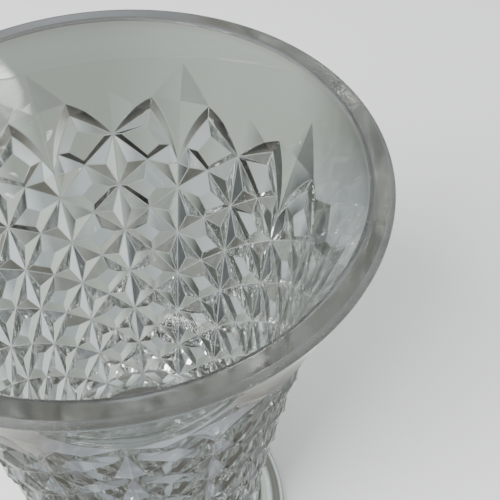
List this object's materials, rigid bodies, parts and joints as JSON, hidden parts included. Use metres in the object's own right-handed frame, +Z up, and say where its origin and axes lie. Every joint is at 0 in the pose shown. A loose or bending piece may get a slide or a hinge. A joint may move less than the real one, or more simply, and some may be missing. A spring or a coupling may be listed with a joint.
{
  "type": "vase",
  "caption": "Footed vase of thick clear crystal with a flared mouth, a plain rim band, deep cut spikes and diamonds round the bowl, and a spreading foot.",
  "frame": {"origin": "centre of the ground ring that the foot stands on", "axes": "+Z up along the vase's axis, towards the mouth; a short spike's line lies on +X and on +Y"},
  "size_m": [0.16, 0.16, 0.212],
  "materials": {
    "crystal": "polished"
  },
  "bodies": {
    "root": {"rim_collar": "crystal", "cut_wall": "crystal", "bowl_base": "crystal", "foot": "crystal"}
  },
  "joints": []
}
